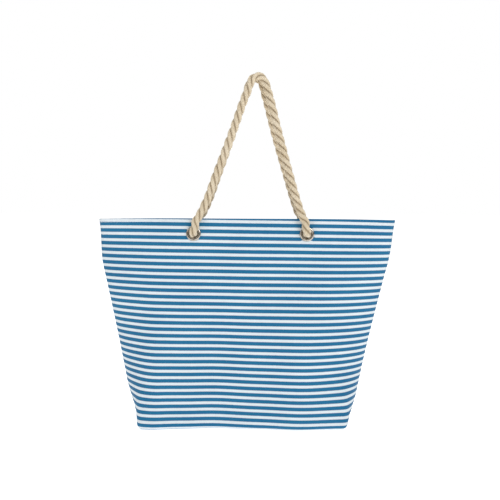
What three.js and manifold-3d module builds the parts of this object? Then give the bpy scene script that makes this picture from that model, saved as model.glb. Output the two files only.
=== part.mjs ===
// Beach bag: a soft striped canvas tote with a boxed base, a slim open mouth and two rope handles.
// Millimetres, +Z up. The front faces -Y. The origin is at the middle of the base, on the ground.
import * as THREE from "three";
import { mergeVertices } from "three/addons/utils/BufferGeometryUtils.js";
import Module from "manifold-3d";

const wasm = await Module();
wasm.setup();

// Driving dimensions.
const bodyHeight = 399; // ground to rim
const rimHalfWidth = 273; // side seam to centre, along the rim
const rimHalfDepth = 40; // mouth held open by the knots inside
const baseHalfWidth = 198; // boxed base, corner to centre
const baseHalfDepth = 66.8; // front edge of the base to its middle seam
const baseCornerRadius = 10; // soft fold between the front and the side of the box
const seamGap = 0.15; // half the gap between the front and back panels
const layerGap = 0.35; // between touching layers
const joinOverlap = 0.05; // how far two stretches of one cloth run into each other where they are joined

const canvasThickness = 1.4;
const hemDepth = 12; // canvas turned in along the rim
const facingInset = 2.9; // outer face of the canvas to outer face of the facing
const facingThickness = 1.2;
const facingDepth = 50;
const liningThickness = 0.6;
const liningLap = 8; // the lining runs up behind the facing
const pocketHalfWidth = 80;
const pocketBottom = 190;
const pocketTop = 330;

const grommetX = 104.5; // centre of the bag to the centre of each grommet
const grommetDrop = 28; // rim to the centre of each grommet
const barrelInnerRadius = 7.9;
const barrelOuterRadius = 8.5;
const grommetRadius = 13.5;
const clothHoleRadius = 8.9;
const flangeHeight = 1.8;

const ropeRadius = 7.5;
const ropeSides = 10;
const ropeStep = 11; // spacing of the rings along a handle
const throatLength = 11; // face of the canvas to the handle's turning axis
const handleStart = 10; // turning axis to the lower end of a handle
const handleLean = 0.149; // slope at which each handle leans in over the mouth until both meet
const knotRadius = 16;
const knotLength = 28;
const knotTail = 36; // knot centre to the cut end of the rope

const snapDrop = 22; // rim to the centre of the magnetic snap
const snapRadius = 9;
const plateRadius = 8;
const plateThickness = 0.7;
const metalSegments = 20; // sides of a turned metal piece

// Colours.
const canvasLook = { color: 0x2c7196, roughness: 0.9, metalness: 0 };
const liningLook = { color: 0xd9cfb8, roughness: 0.95, metalness: 0 };
const ropeLook = { color: 0xcabda4, roughness: 0.95, metalness: 0 };
const nickelLook = { color: 0xc9c6c0, roughness: 0.18, metalness: 1 };

// Handle routes, from the left lower end over the peak to the right lower end: [x, z].
const frontHandleRoute = [
  [-104.5, 382], [-99.5, 394], [-90.5, 409], [-77.5, 437], [-62.5, 478], [-46, 521],
  [-30, 564], [-14.5, 608], [-6, 629], [-1.2, 643], [4, 651.2], [12.3, 654.5],
  [20.6, 651.2], [25.8, 643], [30.3, 629], [36.4, 608], [47.5, 564], [59, 521],
  [71, 478], [83, 437], [92.5, 409], [100, 394], [104.5, 382],
];
const rearHandleRoute = [
  [-104.5, 382], [-99.5, 394], [-90.5, 409], [-78, 437], [-63, 478], [-47, 521],
  [-31.5, 564], [-16, 608], [-8, 629], [-3.4, 643], [1.4, 650.5], [8.8, 653.5],
  [16.2, 650.5], [21, 643], [25, 629], [31, 608], [43, 564], [56, 521],
  [69.5, 478], [82.5, 437], [92.5, 409], [100, 394], [104.5, 382],
];

const part = new THREE.Group();
const frontSide = -1;
const rearSide = 1;

// Adds a named mesh to the bag.
function addPiece(name, geometry, look) {
  const mesh = new THREE.Mesh(geometry, new THREE.MeshStandardMaterial(look));
  mesh.name = name;
  part.add(mesh);
  return mesh;
}

// A closed geometry as a solid that can be joined and cut.
function solidFrom(geometry) {
  const bare = new THREE.BufferGeometry();
  bare.setAttribute("position", geometry.getAttribute("position"));
  bare.setIndex(geometry.getIndex());
  const merged = mergeVertices(bare, 1e-3);
  const vertProperties = new Float32Array(merged.getAttribute("position").array);
  const triVerts = new Uint32Array(merged.getIndex().array);
  return new wasm.Manifold(new wasm.Mesh({ numProp: 3, vertProperties, triVerts }));
}

// A joined or cut solid as a geometry.
function geometryFrom(solid) {
  const mesh = solid.getMesh();
  const geometry = new THREE.BufferGeometry();
  geometry.setAttribute("position", new THREE.BufferAttribute(mesh.vertProperties, 3));
  geometry.setIndex(new THREE.BufferAttribute(mesh.triVerts, 1));
  geometry.computeVertexNormals();
  return geometry;
}

// One quarter of the bag's outline at the base and at the rim, from the middle of the front to a side seam.
const baseOutline = new THREE.Path();
baseOutline.moveTo(0, -baseHalfDepth);
baseOutline.lineTo(baseHalfWidth - baseCornerRadius, -baseHalfDepth);
baseOutline.absarc(
  baseHalfWidth - baseCornerRadius,
  baseCornerRadius - baseHalfDepth,
  baseCornerRadius,
  -Math.PI / 2,
  0,
  false,
);
baseOutline.lineTo(baseHalfWidth, 0);
const rimOutline = new THREE.EllipseCurve(0, 0, rimHalfWidth, rimHalfDepth, -Math.PI / 2, 0, false);

// How far round the quarter outline the soft fold starts and ends.
const outlineLength = baseOutline.getLength();
const foldStart = (baseHalfWidth - baseCornerRadius) / outlineLength;
const foldEnd = 1 - (baseHalfDepth - baseCornerRadius) / outlineLength;

// A point on the canvas's outer face. across runs from -1 to 1 between the side seams.
function facePoint(side, across, height) {
  const round = Math.min(Math.abs(across), 1);
  const low = baseOutline.getPointAt(round);
  const high = rimOutline.getPointAt(round);
  const rise = height / bodyHeight;
  const x = THREE.MathUtils.lerp(low.x, high.x, rise) * Math.sign(across);
  const y = THREE.MathUtils.lerp(low.y, high.y, rise) - seamGap;
  return new THREE.Vector3(x, -y * side, height);
}

// The canvas's outward direction at a point.
function faceNormal(side, across, height) {
  const step = 0.004;
  const from = Math.max(across - step, -1);
  const to = Math.min(across + step, 1);
  const wide = facePoint(side, to, height).sub(facePoint(side, from, height));
  const tall = facePoint(side, across, height + 5).sub(facePoint(side, across, height - 5));
  return wide.cross(tall).multiplyScalar(-side).normalize();
}

// A point below the canvas's outer face by inset, at its own height.
function layerPoint(side, across, height, inset) {
  const outward = faceNormal(side, across, height);
  if (Math.abs(across) === 1) outward.set(Math.sign(across), 0, 0);
  outward.setZ(0).normalize();
  return facePoint(side, across, height).addScaledVector(outward, -inset);
}

// Even steps between a list of stops.
function stopsBetween(stops, counts) {
  const values = [stops[0]];
  counts.forEach((count, i) => {
    for (let k = 1; k <= count; k++) {
      values.push(THREE.MathUtils.lerp(stops[i], stops[i + 1], k / count));
    }
  });
  return values;
}

// Columns across a whole panel, closest together at the two soft folds.
const panelColumns = stopsBetween(
  [-1, -foldEnd, -foldStart, foldStart, foldEnd, 1],
  [4, 3, 14, 3, 4],
);

// A closed sheet of cloth of one thickness, over the given columns and heights.
function clothSheet(side, columns, heights, inset, thickness) {
  const outer = heights.map((z) => columns.map((a) => layerPoint(side, a, z, inset)));
  const inner = heights.map((z) => columns.map((a) => layerPoint(side, a, z, inset + thickness)));
  const points = [...outer.flat(), ...inner.flat()];
  const width = columns.length;
  const back = outer.flat().length;
  const faces = [];
  const quad = (a, b, c, d) => faces.push(a, b, c, a, c, d);
  for (let j = 0; j + 1 < heights.length; j++) {
    for (let i = 0; i + 1 < width; i++) {
      const a = j * width + i;
      quad(a, a + 1, a + width + 1, a + width);
      quad(back + a, back + a + width, back + a + width + 1, back + a + 1);
    }
    const left = j * width;
    const right = left + width - 1;
    quad(left + width, back + left + width, back + left, left);
    quad(right, back + right, back + right + width, right + width);
  }
  for (let i = 0; i + 1 < width; i++) {
    const top = (heights.length - 1) * width + i;
    quad(i, back + i, back + i + 1, i + 1);
    quad(top + 1, back + top + 1, back + top, top);
  }
  if (side === rearSide) faces.reverse();
  const geometry = new THREE.BufferGeometry();
  geometry.setFromPoints(points);
  geometry.setIndex(faces);
  return geometry;
}

// The half of the base under one panel, as a flat piece of the same cloth.
function baseFlap(side, inset, thickness) {
  const outline = new THREE.Shape();
  const edge = panelColumns.map((a) => layerPoint(side, a, inset, inset + thickness / 2));
  edge.forEach((p, i) => (i ? outline.lineTo(p.x, p.y) : outline.moveTo(p.x, p.y)));
  const flap = new THREE.ExtrudeGeometry(outline, { depth: thickness, bevelEnabled: false });
  flap.translate(0, 0, inset);
  return flap;
}

// Where each rope passes through the canvas: position on the face, and outward direction.
function grommetPlace(side, hand) {
  const height = bodyHeight - grommetDrop;
  let across = hand * 0.37;
  for (let k = 0; k < 8; k++) {
    across += ((hand * grommetX - facePoint(side, across, height).x) / grommetX) * 0.37;
  }
  return { point: facePoint(side, across, height), outward: faceNormal(side, across, height) };
}

// Stands a lathe-turned piece, whose axis is Y, on the canvas at a place, facing outwards.
function standOnFace(object, place) {
  object.position.copy(place.point);
  object.quaternion.setFromUnitVectors(new THREE.Vector3(0, 1, 0), place.outward);
  object.updateMatrix();
  return object;
}

const grommets = [];
for (const [sideName, side] of [["front", frontSide], ["rear", rearSide]]) {
  for (const [handName, hand] of [["left", -1], ["right", 1]]) {
    grommets.push({ name: `${sideName}_${handName}`, side, place: grommetPlace(side, hand) });
  }
}

// Cuts the round holes for one side's grommets through a layer.
function withGrommetHoles(layer, side) {
  let solid = solidFrom(layer);
  for (const grommet of grommets.filter((g) => g.side === side)) {
    const punch = new THREE.CylinderGeometry(clothHoleRadius, clothHoleRadius, 30, metalSegments);
    const placed = standOnFace(new THREE.Object3D(), grommet.place);
    solid = solid.subtract(solidFrom(punch.applyMatrix4(placed.matrix)));
  }
  return solid;
}

const facingBottom = bodyHeight - facingDepth;
const liningInset = canvasThickness + layerGap;
const liningTop = facingBottom + liningLap;

// A canvas panel: the face, both side folds, the turned-in rim and its half of the base.
function canvasPanel(side) {
  const wallHeights = [0, 60, 140, 230, 310, 350, bodyHeight - hemDepth, bodyHeight];
  const wall = clothSheet(side, panelColumns, wallHeights, 0, canvasThickness);
  const hemHeights = [bodyHeight - hemDepth, bodyHeight];
  const hemInset = canvasThickness - joinOverlap;
  const hem = clothSheet(side, panelColumns, hemHeights, hemInset, facingInset - layerGap - hemInset);
  const cloth = withGrommetHoles(wall, side);
  return geometryFrom(cloth.add(solidFrom(hem)).add(solidFrom(baseFlap(side, 0, canvasThickness))));
}

// A lining half: the inner wall and its half of the bag's floor.
function liningHalf(side) {
  const heights = [liningInset, 60, 140, 230, 310, liningTop];
  const wall = clothSheet(side, panelColumns, heights, liningInset, liningThickness);
  const floor = baseFlap(side, liningInset, liningThickness);
  return geometryFrom(solidFrom(wall).add(solidFrom(floor)));
}

// The canvas band inside the rim, which carries the grommets and the snap.
function facingBand(side) {
  const heights = [facingBottom, bodyHeight - facingDepth / 2, bodyHeight];
  const band = clothSheet(side, panelColumns, heights, facingInset, facingThickness);
  return geometryFrom(withGrommetHoles(band, side));
}

// The open-topped slip pocket on the back lining.
function slipPocket() {
  const reach = pocketHalfWidth / outlineLength;
  const columns = stopsBetween([-reach, reach], [6]);
  const inset = liningInset + liningThickness + layerGap;
  return clothSheet(rearSide, columns, [pocketBottom, 235, 285, pocketTop], inset, liningThickness);
}

// A turned ring, from a profile of [radius, height out of the canvas] points that closes on itself.
function turnedRing(profile) {
  const points = profile.map(([r, h]) => new THREE.Vector2(r, h));
  return new THREE.LatheGeometry([...points, points[0].clone()], metalSegments);
}

// A turned solid, from a profile that starts and ends on its axis.
function turnedSolid(profile, segments) {
  return new THREE.LatheGeometry(profile.map(([r, h]) => new THREE.Vector2(r, h)), segments);
}

const washerInset = facingInset + facingThickness + layerGap;
const washerThickness = 1;
const lipInset = washerInset + washerThickness + layerGap;
const lipThickness = 0.7;
const lipWidth = 1.3; // how far the rolled lip spreads over the washer

// The grommet's eyelet: a domed flange outside, a barrel through the cloth and a rolled lip inside.
function eyelet() {
  const flange = layerGap + flangeHeight;
  return turnedRing(
    [
      [barrelInnerRadius, -lipInset - lipThickness],
      [barrelOuterRadius + lipWidth, -lipInset - lipThickness],
      [barrelOuterRadius + lipWidth, -lipInset],
      [barrelOuterRadius, -lipInset + 0.1],
      [barrelOuterRadius, layerGap],
      [grommetRadius, layerGap],
      [grommetRadius - 0.5, flange - 0.7],
      [grommetRadius - 2.3, flange],
      [barrelInnerRadius + 1.4, flange],
      [barrelInnerRadius, flange - 1.1],
    ],
  );
}

// The grommet's flat washer inside the facing.
function washer() {
  const inner = barrelOuterRadius + layerGap;
  const outer = grommetRadius - 0.4;
  const inside = -washerInset - washerThickness;
  return turnedRing([[inner, inside], [outer, inside], [outer, -washerInset], [inner, -washerInset]]);
}

const throatInset = lipInset + lipThickness + layerGap; // the rope's length behind the canvas's outer face
const knotInset = throatInset + layerGap;

// The rope's short straight stretch through the eyelet.
function ropeThroat() {
  const length = throatLength + throatInset;
  const throat = new THREE.CylinderGeometry(ropeRadius, ropeRadius, length, ropeSides);
  throat.translate(0, throatLength - length / 2, 0);
  return throat;
}

// The stopper knot behind the eyelet, with the cut tail hanging down.
function stopperKnot(place) {
  const deep = -knotInset - knotLength;
  const ball = turnedSolid(
    [
      [0, deep],
      [9, deep],
      [13.5, deep + 4],
      [knotRadius, deep + 11],
      [knotRadius, deep + 17],
      [13, deep + 24],
      [8, -knotInset],
      [0, -knotInset],
    ],
    14,
  );
  const tail = new THREE.CylinderGeometry(ropeRadius, ropeRadius, knotTail, ropeSides);
  const centre = place.point.clone().addScaledVector(place.outward, -knotInset - knotLength / 2);
  tail.rotateX(Math.PI / 2);
  tail.translate(centre.x, centre.y, centre.z - knotTail / 2);
  const placed = standOnFace(new THREE.Object3D(), place);
  return geometryFrom(solidFrom(ball.applyMatrix4(placed.matrix)).add(solidFrom(tail)));
}

// A handle: one rope between its two turning points.
function handleRope(side, route) {
  const place = grommets.find((g) => g.side === side).place;
  const axis = place.point.clone().addScaledVector(place.outward, throatLength);
  const leanAt = (z) => axis.y - side * (z - axis.z) * handleLean;
  const path = new THREE.CatmullRomCurve3(
    route.map(([x, z]) => new THREE.Vector3(x, leanAt(z), z)),
    false,
    "centripetal",
  );
  const section = new THREE.Shape();
  for (let k = 0; k < ropeSides; k++) {
    const turn = (k / ropeSides) * 2 * Math.PI;
    const x = ropeRadius * Math.cos(turn);
    const y = ropeRadius * Math.sin(turn);
    if (k) section.lineTo(x, y);
    else section.moveTo(x, y);
  }
  const steps = Math.round(path.getLength() / ropeStep);
  return new THREE.ExtrudeGeometry(section, { steps, extrudePath: path, bevelEnabled: false });
}

// A place on the middle of one side's facing.
function snapPlace(side) {
  const height = bodyHeight - snapDrop;
  return { point: facePoint(side, 0, height), outward: faceNormal(side, 0, height) };
}

const snapInset = facingInset + facingThickness + layerGap;

// The snap's socket: a low cup that the stud drops into.
function snapSocket() {
  const front = -snapInset - 3;
  return turnedSolid(
    [
      [0, front + 1.6],
      [3.8, front + 1.6],
      [4.2, front],
      [snapRadius - 0.6, front],
      [snapRadius, front + 0.6],
      [snapRadius, -snapInset],
      [0, -snapInset],
    ],
    metalSegments,
  );
}

// The snap's stud: a flat disc with a short round post.
function snapStud() {
  const front = -snapInset - 1.8;
  return turnedSolid(
    [
      [0, front - 1.5],
      [3.1, front - 1.5],
      [3.4, front],
      [snapRadius - 0.5, front],
      [snapRadius, front + 0.5],
      [snapRadius, -snapInset],
      [0, -snapInset],
    ],
    metalSegments,
  );
}

// The thin plate that backs each snap half between canvas and facing.
function snapPlate() {
  const plate = new THREE.CylinderGeometry(plateRadius, plateRadius, plateThickness, metalSegments);
  plate.translate(0, -canvasThickness - layerGap - plateThickness / 2, 0);
  return plate;
}

addPiece("front_panel", canvasPanel(frontSide), canvasLook);
addPiece("back_panel", canvasPanel(rearSide), canvasLook);
addPiece("front_facing", facingBand(frontSide), canvasLook);
addPiece("back_facing", facingBand(rearSide), canvasLook);
addPiece("front_lining", liningHalf(frontSide), liningLook);
addPiece("back_lining", liningHalf(rearSide), liningLook);
addPiece("slip_pocket", slipPocket(), liningLook);

for (const grommet of grommets) {
  standOnFace(addPiece(`${grommet.name}_eyelet`, eyelet(), nickelLook), grommet.place);
  standOnFace(addPiece(`${grommet.name}_washer`, washer(), nickelLook), grommet.place);
  standOnFace(addPiece(`${grommet.name}_rope_end`, ropeThroat(), ropeLook), grommet.place);
  addPiece(`${grommet.name}_knot`, stopperKnot(grommet.place), ropeLook);
}

addPiece("front_handle_rope", handleRope(frontSide, frontHandleRoute), ropeLook);
addPiece("rear_handle_rope", handleRope(rearSide, rearHandleRoute), ropeLook);

standOnFace(addPiece("snap_socket", snapSocket(), nickelLook), snapPlace(frontSide));
standOnFace(addPiece("snap_stud", snapStud(), nickelLook), snapPlace(rearSide));
standOnFace(addPiece("snap_socket_plate", snapPlate(), nickelLook), snapPlace(frontSide));
standOnFace(addPiece("snap_stud_plate", snapPlate(), nickelLook), snapPlace(rearSide));

export default part;
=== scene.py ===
import math
import bmesh
import bpy
import numpy as np
from mathutils import Matrix, Vector, kdtree


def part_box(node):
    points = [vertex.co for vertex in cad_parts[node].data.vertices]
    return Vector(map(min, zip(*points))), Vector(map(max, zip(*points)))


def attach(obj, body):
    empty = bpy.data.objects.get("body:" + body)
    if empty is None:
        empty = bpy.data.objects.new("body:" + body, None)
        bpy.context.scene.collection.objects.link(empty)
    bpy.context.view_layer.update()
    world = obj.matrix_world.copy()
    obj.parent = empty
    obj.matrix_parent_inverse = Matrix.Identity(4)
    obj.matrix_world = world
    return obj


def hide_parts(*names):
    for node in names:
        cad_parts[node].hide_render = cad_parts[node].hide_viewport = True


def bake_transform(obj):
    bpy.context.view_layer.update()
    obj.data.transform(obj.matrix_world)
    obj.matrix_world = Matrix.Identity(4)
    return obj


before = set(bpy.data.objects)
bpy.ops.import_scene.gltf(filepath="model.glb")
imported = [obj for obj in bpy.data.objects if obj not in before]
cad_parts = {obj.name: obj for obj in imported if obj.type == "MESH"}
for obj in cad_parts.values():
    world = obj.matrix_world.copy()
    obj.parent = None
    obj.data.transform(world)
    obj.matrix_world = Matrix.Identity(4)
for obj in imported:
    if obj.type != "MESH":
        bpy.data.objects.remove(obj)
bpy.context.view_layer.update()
front, rear = -1, 1
sideNames = {front: "front", rear: "rear"}
panelNames = {front: "front", rear: "back"}
hands = {"left": -1, "right": 1}


# Short ways to build node trees.
def plug(tree, value, socket):
    if isinstance(value, bpy.types.NodeSocket):
        tree.links.new(value, socket)
    else:
        socket.default_value = value


def addNode(tree, kind, given=None, **settings):
    node = tree.nodes.new(kind)
    for key, value in settings.items():
        setattr(node, key, value)
    for socketName, value in (given or {}).items():
        plug(tree, value, node.inputs[socketName])
    return node


def maths(tree, operation, *values):
    node = addNode(tree, "ShaderNodeMath", operation=operation)
    for value, socket in zip(values, node.inputs):
        plug(tree, value, socket)
    return node.outputs[0]


def vectorMaths(tree, operation, *values):
    node = addNode(tree, "ShaderNodeVectorMath", operation=operation)
    for value, socket in zip(values, node.inputs):
        plug(tree, value, socket)
    return node.outputs["Vector"]


def scaled(tree, vector, factor):
    given = {0: vector, "Scale": factor}
    return addNode(tree, "ShaderNodeVectorMath", given, operation="SCALE").outputs["Vector"]


def ranged(tree, value, low, high, toLow, toHigh):
    given = {"Value": value, "From Min": low, "From Max": high, "To Min": toLow, "To Max": toHigh}
    return addNode(tree, "ShaderNodeMapRange", given).outputs["Result"]


# The camera and the studio.
cameraSetup = {
    "distance": 1.206,  # lens to the middle of the bag, level
    "height": 0.4648,  # lens above the floor
    "tiltDown": 9.653,  # degrees
    "roll": 0.3,
    "sensorWidth": 36,
    "lens": 45.6,
    "shift": 0.08,
}
studio = {
    "floorHalfWidth": 8.0,
    "floorColour": 0.60,
    "floorRoughness": 0.9,
    "floorShine": 0.1,
    "floorGlow": 0.86,  # keeps the far floor as pale as the near floor
    "floorDrop": -0.0004,  # just under the bag, so that the two never share a surface
    "aim": (0, 0, 0.25),
    "lights": {  # place, width, watts
        "keyLight": ((1.5, -2.0, 1.7), 1.4, 28),
        "fillLight": ((-1.9, -1.7, 1.0), 1.6, 10),
        "topLight": ((0.2, 0.5, 2.4), 1.8, 16),
        "rearLight": ((-0.6, 2.2, 1.3), 1.8, 20),
    },
    "skyTop": 0.95,
    "skyLow": 0.30,
    "skyBlend": (-0.3, 0.5),  # the sky's tone changes between these heights
    "skyStrength": 0.42,
}


def makeCamera(setup):
    data = bpy.data.cameras.new("camera")
    camera = bpy.data.objects.new("camera", data)
    bpy.context.scene.collection.objects.link(camera)
    bpy.context.scene.camera = camera
    data.sensor_width = setup["sensorWidth"]
    data.lens = setup["lens"]
    data.shift_y = setup["shift"]
    camera.location = (0, -setup["distance"], setup["height"])
    level = Matrix.Rotation(math.radians(90 - setup["tiltDown"]), 4, "X")
    rolled = level @ Matrix.Rotation(math.radians(setup["roll"]), 4, "Z")
    camera.rotation_euler = rolled.to_euler()


def makeLight(name, place, width, watts, aim):
    data = bpy.data.lights.new(name, "AREA")
    data.size = width
    data.energy = watts
    light = bpy.data.objects.new(name, data)
    bpy.context.scene.collection.objects.link(light)
    light.location = place
    light.rotation_euler = (Vector(aim) - Vector(place)).to_track_quat("-Z", "Y").to_euler()


def makeSky(setup):
    world = bpy.data.worlds.new("sky")
    bpy.context.scene.world = world
    world.use_nodes = True
    tree = world.node_tree
    tree.nodes.clear()
    way = addNode(tree, "ShaderNodeTexCoord").outputs["Generated"]
    height = addNode(tree, "ShaderNodeSeparateXYZ", {0: way}).outputs["Z"]
    tone = ranged(tree, height, *setup["skyBlend"], setup["skyLow"], setup["skyTop"])
    lit = addNode(tree, "ShaderNodeBackground", {"Color": tone, "Strength": setup["skyStrength"]})
    backdrop = addNode(tree, "ShaderNodeBackground", {"Color": (1, 1, 1, 1)})
    seen = addNode(tree, "ShaderNodeLightPath").outputs["Is Camera Ray"]
    choose = addNode(tree, "ShaderNodeMixShader", {0: seen, 1: lit.outputs[0], 2: backdrop.outputs[0]})
    addNode(tree, "ShaderNodeOutputWorld", {"Surface": choose.outputs[0]})


def makeFloor(setup):
    half = setup["floorHalfWidth"]
    ways = [(-1, -1), (1, -1), (1, 1), (-1, 1)]
    corners = [(x * half, y * half, setup["floorDrop"]) for x, y in ways]
    mesh = bpy.data.meshes.new("floor")
    mesh.from_pydata(corners, [], [(0, 1, 2, 3)])
    floor = bpy.data.objects.new("floor", mesh)
    bpy.context.scene.collection.objects.link(floor)
    paint = bpy.data.materials.new("floorPaint")
    paint.use_nodes = True
    shader = paint.node_tree.nodes["Principled BSDF"]
    grey = setup["floorColour"]
    shader.inputs["Base Color"].default_value = (grey, grey, grey, 1)
    shader.inputs["Roughness"].default_value = setup["floorRoughness"]
    shader.inputs["Specular IOR Level"].default_value = setup["floorShine"]
    shader.inputs["Emission Color"].default_value = (1, 1, 1, 1)
    shader.inputs["Emission Strength"].default_value = setup["floorGlow"]
    mesh.materials.append(paint)


makeCamera(cameraSetup)
bpy.context.scene.view_settings.view_transform = "Standard"  # plain tones: white cloth stays white
for lightName, (lightPlace, lightWidth, lightWatts) in studio["lights"].items():
    makeLight(lightName, lightPlace, lightWidth, lightWatts, studio["aim"])
makeSky(studio)
makeFloor(studio)
print("camera and studio are set")

# The bag's outline, a slim rim over a boxed base, and its layers of cloth.
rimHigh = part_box("front_panel")[1]
bag = {
    "height": rimHigh[2],
    "rimHalfWidth": rimHigh[0],
    "rimHalfDepth": 0.040,
    "baseHalfWidth": 0.198,
    "baseHalfDepth": 0.0668,
    "cornerRadius": 0.010,  # upright folds of the boxed base
    "leftRound": 0.055,  # above the base the folds open out into round sides, this far across the face
    "rightRound": 0.095,
    "roundFrom": 0.120,
    "bottomRadius": 0.010,  # soft roll from the walls to the base
    "wallLength": 0.400,  # along the slope, from the rim to the roll
    "seamGap": 0.00015,
    "canvas": 0.0013,  # thickness
    "hemDepth": 0.012,
    "facingInset": 0.0029,
    "facingThickness": 0.0011,
    "facingDrop": 0.0006,  # below the rim
    "facingDepth": 0.050,
    "liningInset": 0.00175,
    "liningThickness": 0.0006,
    "liningTop": 0.357,
}
drapeSetup = {
    "shiftRim": -0.0095,  # the empty bag leans a little to its right
    "shiftBase": -0.0140,
    "leftSwell": 0.0165,  # how far the sides belly out below the rim
    "rightSwell": 0.0162,
    "swellTop": 0.300,
    "swellFoot": -0.040,
    "leftSwellLow": 0.085,
    "rightSwellLow": 0.060,
    "leftFlare": 0.005,  # the rim's corners are pulled out
    "rightFlare": 0.012,
    "flareLow": 0.290,
    "cornerDrop": 0.0035,  # the rim's corners hang lower than its middle
    "rearDip": 0.0052,  # the rear rim sits a little lower than the front one
    "rearDipReach": 0.022,
    "rearDipFade": 0.012,  # backwards from the middle of the mouth
    "waveTop": 0.300,  # waves run up the walls from the base and die out here
    "waveFull": 0.040,
    "waveFace": (0.4, 0.95),  # shares of the depth: none at the sides, full on the faces
    "frontWaves": [(-0.172, 0.030, 0.005), (-0.052, 0.050, -0.006), (0.104, 0.045, 0.006)],
    "rearWaves": [(-0.120, 0.050, 0.005), (0.010, 0.045, -0.005), (0.140, 0.040, 0.004)],
    "ripple": 0.0007,
    "ripples": 14,
    "ripplePitch": (22, 22, 14),  # radians per metre, roughly, across, deep and up
    "rippleTop": 0.34,
    "rippleLow": 0.03,
    "rippleFace": (0.3, 0.9),
    "seed": 11,
}


seamFrom = 0.9999  # points further across than this lie on the side seam


def smoothStep(value, start, end):
    t = np.clip((value - start) / (end - start), 0, 1)
    return t * t * (3 - 2 * t)


def runningLength(points):
    return np.concatenate([[0], np.cumsum(np.linalg.norm(np.diff(points, axis=0), axis=1))])


def quarterOutlines(sizes):
    wide, deep, radius = sizes["baseHalfWidth"], sizes["baseHalfDepth"], sizes["cornerRadius"]
    turn = np.linspace(-math.pi / 2, 0, 60)
    corner = np.stack([wide - radius + radius * np.cos(turn), radius - deep + radius * np.sin(turn)], 1)
    base = np.concatenate([[[0, -deep]], corner, [[wide, 0]]])
    sweep = np.linspace(-math.pi / 2, 0, 1500)
    rim = np.stack([sizes["rimHalfWidth"] * np.cos(sweep), sizes["rimHalfDepth"] * np.sin(sweep)], 1)
    return base, rim


def roundOutline(sizes, reach):
    wide, deep = sizes["baseHalfWidth"], sizes["baseHalfDepth"]
    turn = np.linspace(-math.pi / 2, 0, 300)
    bend = np.stack([wide - reach + reach * np.cos(turn), deep * np.sin(turn)], 1)
    return np.concatenate([[[0, -deep]], bend])


baseOutline, rimOutline = quarterOutlines(bag)
leftOutline, rightOutline = roundOutline(bag, bag["leftRound"]), roundOutline(bag, bag["rightRound"])
leftRun, rightRun = runningLength(leftOutline), runningLength(rightOutline)
baseRun, rimRun = runningLength(baseOutline), runningLength(rimOutline)
halfLength = baseRun[-1]
foldStart = (bag["baseHalfWidth"] - bag["cornerRadius"]) / halfLength
foldEnd = 1 - (bag["baseHalfDepth"] - bag["cornerRadius"]) / halfLength


def outlineAt(outline, run, fraction):
    want = np.abs(fraction) * run[-1]
    return np.interp(want, run, outline[:, 0]), np.interp(want, run, outline[:, 1])


# A point on the flat-lying canvas's outer face; across runs from -1 to 1 between the side seams.
def facePoint(side, across, height):
    lowX, lowY = outlineAt(baseOutline, baseRun, across)
    leftX, leftY = outlineAt(leftOutline, leftRun, across)
    rightX, rightY = outlineAt(rightOutline, rightRun, across)
    highX, highY = outlineAt(rimOutline, rimRun, across)
    rise = height / bag["height"]
    opened = smoothStep(height, -bag["roundFrom"] / 4, bag["roundFrom"])
    lowX = lowX + (np.where(np.asarray(across) < 0, leftX, rightX) - lowX) * opened
    lowY = lowY + (np.where(np.asarray(across) < 0, leftY, rightY) - lowY) * opened
    x = (lowX + (highX - lowX) * rise) * np.sign(across)
    y = (lowY + (highY - lowY) * rise - bag["seamGap"]) * -side
    return np.stack(np.broadcast_arrays(x, y, height), -1)


# The same, under the outer face by inset, measured level.
def layerPoint(side, across, height, inset):
    step = 0.003
    here = facePoint(side, across, height)
    before = facePoint(side, np.clip(across - step, -1, 1), height)
    after = facePoint(side, np.clip(across + step, -1, 1), height)
    along = after - before
    outward = np.stack([-along[..., 1] * side, along[..., 0] * side, np.zeros_like(along[..., 0])], -1)
    edge = np.abs(across) > seamFrom
    outward[..., 1] = np.where(edge, 0, outward[..., 1])
    outward[..., 0] = np.where(edge, np.sign(across), outward[..., 0])
    outward /= np.linalg.norm(outward, axis=-1, keepdims=True)
    return here - outward * np.expand_dims(np.broadcast_to(inset, here.shape[:-1]), -1)


rippleDraw = np.random.default_rng(drapeSetup["seed"])
rippleWays = rippleDraw.normal(0, 1, (drapeSetup["ripples"], 3)) * np.array(drapeSetup["ripplePitch"])
ripplePhases = rippleDraw.uniform(0, 2 * math.pi, drapeSetup["ripples"])


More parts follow.
